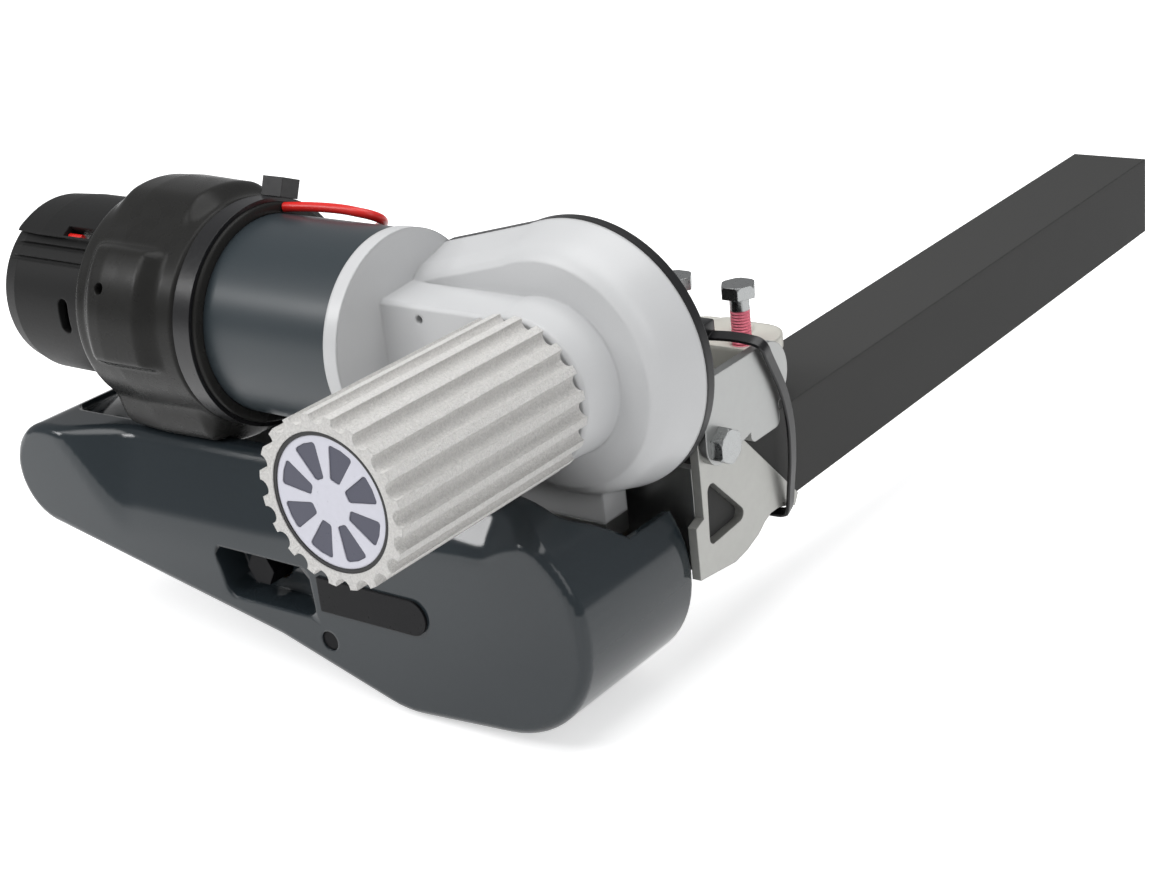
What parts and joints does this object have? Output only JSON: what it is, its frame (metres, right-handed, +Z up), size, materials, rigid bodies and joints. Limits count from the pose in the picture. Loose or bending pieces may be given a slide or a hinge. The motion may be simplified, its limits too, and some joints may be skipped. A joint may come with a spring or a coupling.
{
  "type": "caravan motor mover",
  "caption": "Caravan wheel mover: a geared motor turns a toothed friction roller, a hand spindle and cam swing it to the tyre, and a clamp and square crossbar hold it to the chassis.",
  "frame": {"origin": "middle of the chassis clamp's slot, on the seat plate's top", "axes": "+X towards the tyre, +Y inboard along the crossbar, +Z up"},
  "size_m": [0.3285, 0.593, 0.1979],
  "materials": {
    "zinc_plate": "bright zinc plating with faint streaks",
    "grey_steel": "duller zinc-plated sheet steel",
    "zinc_bolts": "zinc-plated fasteners",
    "charcoal_tube": "satin charcoal powder coat",
    "jaw_casting": "off-white smooth coating",
    "slate_cover": "semi-gloss slate grey",
    "badge": "bare dark label plate",
    "black_nylon": "black nylon",
    "machined_steel": "turned steel",
    "black_spindle": "blackened steel",
    "bronze": "bearing bronze",
    "gear_casting": "light silver-grey coated casting",
    "gasket_rubber": "black seal rubber",
    "black_cover": "black coated plate",
    "can_paint": "semi-gloss slate grey paint",
    "magnet": "sintered ferrite",
    "bell_plastic": "matt black moulding",
    "carbon": "carbon",
    "boot_rubber": "satin brown-black rubber",
    "red_lead": "bright red insulation",
    "terminal_tin": "tinned terminal",
    "laminations": "stacked laminations",
    "copper": "enamelled copper",
    "roller_alloy": "rough sandy cast alloy",
    "cap_plastic": "lilac-white moulding",
    "inlay_plastic": "dark slate-violet windows",
    "rim_plastic": "black ring"
  },
  "bodies": {
    "frame": {"base_frame": "zinc_plate", "gusset_plate": "grey_steel", "far_gusset": "zinc_plate", "clamp_arms": "zinc_plate", "seat_plate": "zinc_plate", "crossbar": "charcoal_tube", "clamp_jaw": "jaw_casting", "clamp_bolts": "zinc_bolts", "clamp_nuts": "zinc_bolts", "cross_bolt": "zinc_bolts", "cross_nut": "zinc_bolts", "lower_cover": "slate_cover", "badge_plate": "badge", "cover_screws": "black_spindle", "tie_rod": "zinc_plate", "pivot_shaft": "machined_steel", "shaft_clip": "machined_steel", "spindle_bushes": "bronze", "arm_tie": "black_nylon"},
    "drive": {"swing_carrier": "zinc_plate", "pivot_bushes": "bronze", "carrier_screws": "zinc_bolts", "gear_housing": "gear_casting", "gear_gasket": "gasket_rubber", "gear_back_cover": "black_cover", "back_cover_screws": "zinc_bolts", "motor_can": "can_paint", "field_magnets": "magnet", "end_bell": "bell_plastic", "brush_holder": "bell_plastic", "brushes": "carbon", "motor_bearings": "machined_steel", "worm_bearing": "machined_steel", "output_bearings": "machined_steel", "shaft_seal": "gasket_rubber", "idler_bushes": "bronze", "rubber_boot": "boot_rubber", "boot_tie": "black_nylon", "motor_lead": "red_lead", "motor_terminal": "terminal_tin"},
    "armature": {"armature_shaft": "machined_steel", "armature_core": "laminations", "armature_windings": "copper", "commutator": "copper", "worm": "machined_steel"},
    "reduction": {"worm_wheel": "bronze", "pinion": "machined_steel", "idler_shaft": "machined_steel"},
    "output": {"output_gear": "machined_steel", "output_shaft": "machined_steel", "roller": "roller_alloy", "roller_cap": "cap_plastic", "cap_inlays": "inlay_plastic", "cap_rim": "rim_plastic", "roller_screw": "zinc_bolts"},
    "engage": {"engage_spindle": "black_spindle", "engage_cam": "machined_steel"}
  },
  "joints": [
    {"name": "drive_swing", "type": "hinge", "parent": "frame", "child": "drive", "pos_m": [-0.018, -0.1, -0.058], "axis": [0, 1, 0], "range_deg": [0, 13]},
    {"name": "spindle_turn", "type": "hinge", "parent": "frame", "child": "engage", "pos_m": [-0.14194, -0.115, -0.062], "axis": [0, 1, 0], "range_deg": [-100, 0]},
    {"name": "armature_spin", "type": "hinge", "parent": "drive", "child": "armature", "pos_m": [-0.11, -0.1078, 0.0373], "axis": [1, 0, 0], "continuous": true},
    {"name": "wheel_spin", "type": "hinge", "parent": "drive", "child": "reduction", "pos_m": [-0.05213, -0.1078, 0.0143], "axis": [0, 1, 0], "continuous": true},
    {"name": "roller_spin", "type": "hinge", "parent": "drive", "child": "output", "pos_m": [-0.01, -0.165, 0.027], "axis": [0, 1, 0], "continuous": true}
  ],
  "couplings": [
    {"joint": "spindle_turn", "follows": "drive_swing", "ratio": -7.6923},
    {"joint": "wheel_spin", "follows": "armature_spin", "ratio": -0.05},
    {"joint": "roller_spin", "follows": "armature_spin", "ratio": 0.014706}
  ]
}
